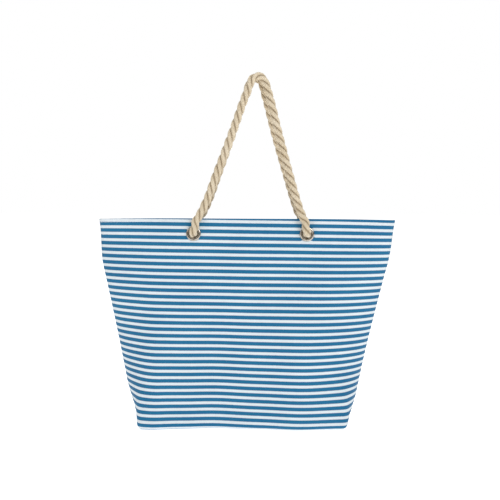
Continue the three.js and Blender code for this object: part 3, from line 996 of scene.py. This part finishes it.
def canvasPanel(side):
    fold = bag["canvas"] + clothGrid["foldGap"]
    wall, runs = wallRows(side, 0.0, bag["height"] - fold)
    base = baseRows(side, 0.0, runs[-1])
    hem, hemRuns = [], []
    for drop in np.linspace(bag["hemDepth"], fold, 6):
        hem.append(layerPoint(side, columns, bag["height"] - drop, 2 * fold + seamPull))
        hemRuns.append(-drop)
    for turn in np.linspace(math.pi, 0, 8)[1:-1]:
        inset = fold - fold * math.cos(turn)
        height = bag["height"] - fold + fold * math.sin(turn)
        hem.append(layerPoint(side, columns, height, inset + seamPull))
        hemRuns.append(-fold * turn / 2 + fold)
    wall = np.concatenate([np.array(hem), wall])
    runs = np.concatenate([hemRuns, runs])
    name = panelNames[side] + "_canvas"
    piece = makeSheet(name, [(wall, runs, columns), base], side, bag["canvas"], canvasMaterial)
    finishPiece(piece, "root")
    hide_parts(panelNames[side] + "_panel")
    return piece


def liningHalf(side):
    inset = bag["liningInset"]
    wall, runs = wallRows(side, inset, bag["liningTop"])
    grids = [(wall, runs, columns), baseRows(side, inset, runs[-1])]
    name = panelNames[side] + "_lining_cloth"
    piece = makeSheet(name, grids, side, bag["liningThickness"], liningMaterial, holes=False)
    finishPiece(piece, "root")
    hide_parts(panelNames[side] + "_lining")
    return piece


def facingBand(side):
    low = bag["height"] - bag["facingDepth"]
    high = bag["height"] - bag["facingDrop"]
    band, runs = wallRows(side, bag["facingInset"], high, low, clothGrid["facingRows"])
    name = panelNames[side] + "_facing_band"
    piece = makeSheet(name, [(band, runs, columns)], side, bag["facingThickness"], facingMaterial)
    finishPiece(piece, "root")
    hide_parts(panelNames[side] + "_facing")
    return piece


pocketSetup = {
    "halfWidth": 0.080,
    "bottom": 0.190,
    "top": 0.330,
    "inset": 0.0027,
    "sag": 0.0035,  # how far its mouth hangs open
}


def makePocket(setup):
    reach = setup["halfWidth"] / halfLength
    across = np.linspace(-reach, reach, 41)
    heights = np.linspace(setup["top"], setup["bottom"], 36)
    lift = setup["top"] - setup["bottom"]
    grid = []
    for z in heights:
        opening = ((z - setup["bottom"]) / lift) ** 2
        belly = setup["sag"] * opening * (1 - (across / reach) ** 2)
        grid.append(layerPoint(rear, across, z, setup["inset"] + belly))
    grids = [(np.array(grid), bag["height"] - heights, across)]
    name = "slip_pocket_cloth"
    piece = makeSheet(name, grids, rear, bag["liningThickness"], liningMaterial, holes=False)
    finishPiece(piece, "root")
    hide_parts("slip_pocket")
    return piece


canvases = {side: canvasPanel(side) for side in (front, rear)}
linings = {side: liningHalf(side) for side in (front, rear)}
facings = {side: facingBand(side) for side in (front, rear)}
pocket = makePocket(pocketSetup)
print("canvas, linings, facings and pocket are sewn")

# Turned metal: eyelets, washers and the magnetic snap.
turnedSegments = 72
eyeletSetup = {  # radii, and heights from the face of the canvas
    "barrel": 0.0079,
    "barrelOuter": 0.0085,
    "flange": 0.0135,
    "flangeEdge": 0.0004,
    "flangeHeight": 0.0021,
    "domePower": 0.8,
    "lift": 0.0003,
    "lipInset": 0.0058,
    "lipWidth": 0.0013,
    "lipRadius": 0.0005,
    "lipDrop": 0.0004,
    "barrelEnd": 0.0006,  # past the lip's inset
}
washerSetup = {
    "inset": 0.00445,
    "thickness": 0.0009,
    "play": 0.0003,  # round the barrel
    "margin": 0.0004,  # inside the flange's edge
    "softness": 0.35,  # corner, as a share of the thickness
}
snapSetup = {
    "drop": 0.022,
    "radius": 0.009,
    "inset": 0.00445,
    "tries": 8,
    "facing": (0.9977, 0.067),  # the walls lean in, so its face looks slightly up
}
snapDiscs = {  # the middle is radii and heights from the face
    "snap_socket": {
        "thickness": 0.003,
        "edge": 0.0008,
        "bevel": 0.0004,
        "middle": [(0, 0.0016), (0.0036, 0.0016), (0.004, 0.0004), (0.0044, 0)],
    },
    "snap_stud": {
        "thickness": 0.0018,
        "edge": 0.0006,
        "bevel": 0.0003,
        "middle": [(0, -0.0014), (0.0028, -0.0014), (0.0034, -0.0009), (0.0035, 0)],
    },
}


# Spins a profile of radius and height about an axis that points outward from a place.
def turned(name, profile, place, outward, closed, nodes):
    shape = bmesh.new()
    count = turnedSegments
    turn = Vector((0, 0, 1)).rotation_difference(Vector(outward))
    rings = []
    for radius, lift in profile:
        ring = []
        for k in range(count if radius > 1e-6 else 1):
            angle = 2 * math.pi * k / count
            spot = Vector((radius * math.cos(angle), radius * math.sin(angle), lift))
            ring.append(shape.verts.new(turn @ spot + Vector(place)))
        rings.append(ring)
    pairs = list(zip(rings, rings[1:])) + ([(rings[-1], rings[0])] if closed else [])
    for low, high in pairs:
        for k in range(count):
            after = (k + 1) % count
            lowEdge = [low[k % len(low)], low[after % len(low)]]
            highEdge = [high[after % len(high)], high[k % len(high)]]
            shape.faces.new(list(dict.fromkeys(lowEdge + highEdge)))
    bmesh.ops.recalc_face_normals(shape, faces=shape.faces)
    mesh = bpy.data.meshes.new(name)
    shape.to_mesh(mesh)
    shape.free()
    piece = newPiece(name, mesh)
    finishPiece(piece, "root", nickelMaterial)
    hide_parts(*nodes)
    return piece


def arc(middle, radius, start, end, steps):
    turns = np.radians(np.linspace(start, end, steps))
    return [(middle[0] + radius * math.cos(t), middle[1] + radius * math.sin(t)) for t in turns]


# A domed flange outside, a barrel through the cloth and a lip rolled over the washer.
def makeEyelet(side, hand, stem, setup):
    point, outward = grommets[(side, hand)]
    barrel, outer, flange = setup["barrel"], setup["barrelOuter"], setup["flange"]
    low, edge = setup["lift"], setup["lift"] + setup["flangeEdge"]
    crown, spread = (barrel + flange) / 2, (flange - barrel) / 2
    rise = setup["flangeHeight"] - setup["flangeEdge"]
    dome = []
    for turn in np.radians(np.linspace(0, 180, 17)):
        height = edge + rise * math.sin(turn) ** setup["domePower"]
        dome.append((crown + spread * math.cos(turn), height))
    lipMiddle = (outer + setup["lipWidth"] / 2, -setup["lipInset"] - setup["lipDrop"])
    lip = arc(lipMiddle, setup["lipRadius"], 300, 60, 7)
    inside = [(barrel, -setup["lipInset"] - setup["barrelEnd"]), *lip, (outer, -setup["lipInset"])]
    profile = [(outer, low), (flange, low), *dome, *inside]
    turned(stem + "eyelet_ring", profile, point, outward, True, [stem + "eyelet"])


def makeWasher(side, hand, stem, setup):
    point, outward = grommets[(side, hand)]
    inner = eyeletSetup["barrelOuter"] + setup["play"]
    outer = eyeletSetup["flange"] - setup["margin"]
    high, low = -setup["inset"], -setup["inset"] - setup["thickness"]
    soft = setup["thickness"] * setup["softness"]
    under = [(inner, low + soft), (inner + soft, low), (outer - soft, low), (outer, low + soft)]
    over = [(outer, high - soft), (outer - soft, high), (inner + soft, high), (inner, high - soft)]
    turned(stem + "washer_ring", under + over, point, outward, True, [stem + "washer"])


def discProfile(radius, deep, sizes):
    face, edge, bevel = deep - sizes["thickness"], sizes["edge"], sizes["bevel"]
    middle = [(spread, face + height) for spread, height in sizes["middle"]]
    corner = arc((radius - edge, face + edge), edge, 270, 360, 6)
    return [*middle, *corner, (radius, deep - bevel), (radius - bevel, deep), (0, deep)]


def makeSnap(side, name, setup):
    height = bag["height"] - setup["drop"]
    across = 0.0
    for attempt in range(setup["tries"]):
        across -= drape(facePoint(side, across, height))[0] / halfLength
    point = drape(facePoint(side, across, height))
    level, upward = setup["facing"]
    profile = discProfile(setup["radius"], -setup["inset"], snapDiscs[name])
    turned(name + "_disc", profile, point, (0, side * level, upward), False, [name])
    plate = bpy.data.objects[name + "_plate"]
    plate.data.materials.clear()
    plate.data.materials.append(nickelMaterial)


for side in (front, rear):
    for handName, hand in hands.items():
        stem = f"{sideNames[side]}_{handName}_"
        makeEyelet(side, hand, stem, eyeletSetup)
        makeWasher(side, hand, stem, washerSetup)
makeSnap(front, "snap_socket", snapSetup)
makeSnap(rear, "snap_stud", snapSetup)
print("metal is set")

# Stopper knots: each rope is tied in an overhand knot inside the bag, with its tail hanging.
knotSetup = {
    "turn": 0.0056,  # size of its loops
    "depth": 0.0068,
    "gap": 0.0155,  # inner end of the eyelet to the knot's middle
    "start": 0.25,  # the part of the whole knot's round that the rope takes
    "end": 5.75,
    "points": 26,
    "lead": (0.0004, 0.004),  # first points behind the eyelet
    "tail": 0.034,  # hangs this far below the middle
    "tailOut": (0.006, 0.004),  # and swings this far aside, halfway down and at its end
}


def knotLine(side, hand, setup):
    point, outward = (np.array(v) for v in grommets[(side, hand)])
    right = np.array([float(side), 0, 0])
    right -= outward * right.dot(outward)
    right /= np.linalg.norm(right)
    up = np.cross(outward, right)
    up *= np.sign(up[2])
    inner = ropeSetup["throatInset"]
    centre = point - outward * (inner + setup["gap"])
    line = [point - outward * (inner + lead) for lead in setup["lead"]]
    for t in np.linspace(setup["start"], setup["end"], setup["points"]):
        aside = setup["turn"] * (math.sin(t) + 2 * math.sin(2 * t))
        above = setup["turn"] * (math.cos(t) - 2 * math.cos(2 * t))
        ahead = setup["depth"] * math.sin(3 * t)
        line.append(centre + right * aside * hand + up * above + outward * ahead)
    halfOut, footOut = setup["tailOut"]
    foot = centre - up * setup["tail"] + right * hand * footOut
    line += [line[-1] * 0.5 + foot * 0.5 + right * hand * halfOut, foot]
    return throughPoints(line, ropeSetup["pointGap"])


for side in (front, rear):
    for handName, hand in hands.items():
        stem = f"{sideNames[side]}_{handName}_"
        knot = layRope(stem + "stopper_knot", knotLine(side, hand, knotSetup), ropeSetup, ropeMaterial)
        finishPiece(knot, "root")
        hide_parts(stem + "knot")
print("knots are tied")

# Each rope's place is baked into its mesh, and the imported handle rope and rope ends are hidden.
for side in (front, rear):
    rope = handles[side]
    name = sideNames[side]
    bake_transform(rope)
    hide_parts(name + "_handle_rope", name + "_left_rope_end", name + "_right_rope_end")


# Stitches follow lines that lie on the cloth.
def makeStitchTree():
    sizes = {"Spacing": 0.003, "Length": 0.0022, "Thickness": 0.0003}
    tree, given, made = newGeometryTree("sewRow", sizes)
    line = addNode(tree, "GeometryNodeMeshToCurve", {"Mesh": given["Geometry"]})
    spaced = {"Curve": line.outputs[0], "Length": given["Spacing"]}
    even = addNode(tree, "GeometryNodeCurveToPoints", spaced, mode="LENGTH")
    stitch = addNode(tree, "GeometryNodeMeshUVSphere", {"Segments": 6, "Rings": 6, "Radius": 0.5})
    sides = {"X": given["Thickness"], "Y": given["Thickness"], "Z": given["Length"]}
    shape = addNode(tree, "ShaderNodeCombineXYZ", sides)
    sized = {"Geometry": stitch.outputs["Mesh"], "Scale": shape.outputs[0]}
    scattered = {name: even.outputs[name] for name in ("Points", "Rotation")}
    scattered["Instance"] = addNode(tree, "GeometryNodeTransform", sized).outputs[0]
    scatter = addNode(tree, "GeometryNodeInstanceOnPoints", scattered)
    closeTree(tree, scatter.outputs[0], given["Material"], made)
    return tree


stitchTree = makeStitchTree()
stitchLooks = {
    "canvas": {
        "Spacing": 0.0032,
        "Length": 0.0026,
        "Thickness": 0.0006,
        "Material": threadMaterial,
    },
    "lining": {
        "Spacing": 0.0028,
        "Length": 0.0022,
        "Thickness": 0.0005,
        "Material": liningThreadMaterial,
    },
}
sewSetup = {
    "rimDrop": 0.0066,
    "facingRise": 0.004,  # above the facing's lower edge
    "proud": 0.0001,  # thread above the cloth
    "reach": 0.985,  # share of the way to the side seams
    "points": 160,
    "pocketShare": 0.965,
    "pocketTop": 0.002,
    "pocketFoot": 0.003,
    "pocketPoints": 50,
}


def sewRows(name, runs, kind):
    piece = grow(lineObject(name, [drape(run) for run in runs]), stitchTree, stitchLooks[kind])
    finishPiece(piece, "root")
    return piece


def acrossRow(side, height, inset, setup):
    across = np.linspace(-setup["reach"], setup["reach"], setup["points"])
    return layerPoint(side, across, height, inset)


def sewRim(side, setup):
    rimHeight = bag["height"] - setup["rimDrop"]
    lowHeight = bag["height"] - bag["facingDepth"] + setup["facingRise"]
    inner = bag["facingInset"] + bag["facingThickness"] + setup["proud"]
    outside = [acrossRow(side, rimHeight, -setup["proud"], setup)]
    inside = [acrossRow(side, height, inner, setup) for height in (rimHeight, lowHeight)]
    sewRows(panelNames[side] + "_rim_stitches", outside, "canvas")
    sewRows(panelNames[side] + "_facing_stitches", inside, "canvas")


def sewPocket(pocketSizes, setup):
    reach = pocketSizes["halfWidth"] / halfLength * setup["pocketShare"]
    inner = pocketSizes["inset"] + bag["liningThickness"] + setup["proud"]
    count = setup["pocketPoints"]
    top, foot = pocketSizes["top"] - setup["pocketTop"], pocketSizes["bottom"] + setup["pocketFoot"]
    heights = np.linspace(top, foot, count)
    edges = [layerPoint(rear, np.full(count, reach * hand), heights, inner) for hand in (-1, 1)]
    footRow = layerPoint(rear, np.linspace(-reach, reach, count), foot, inner)
    sewRows("pocket_stitches", [*edges, footRow], "lining")


for side in (front, rear):
    sewRim(side, sewSetup)
sewPocket(pocketSetup, sewSetup)
print("stitches are sewn")
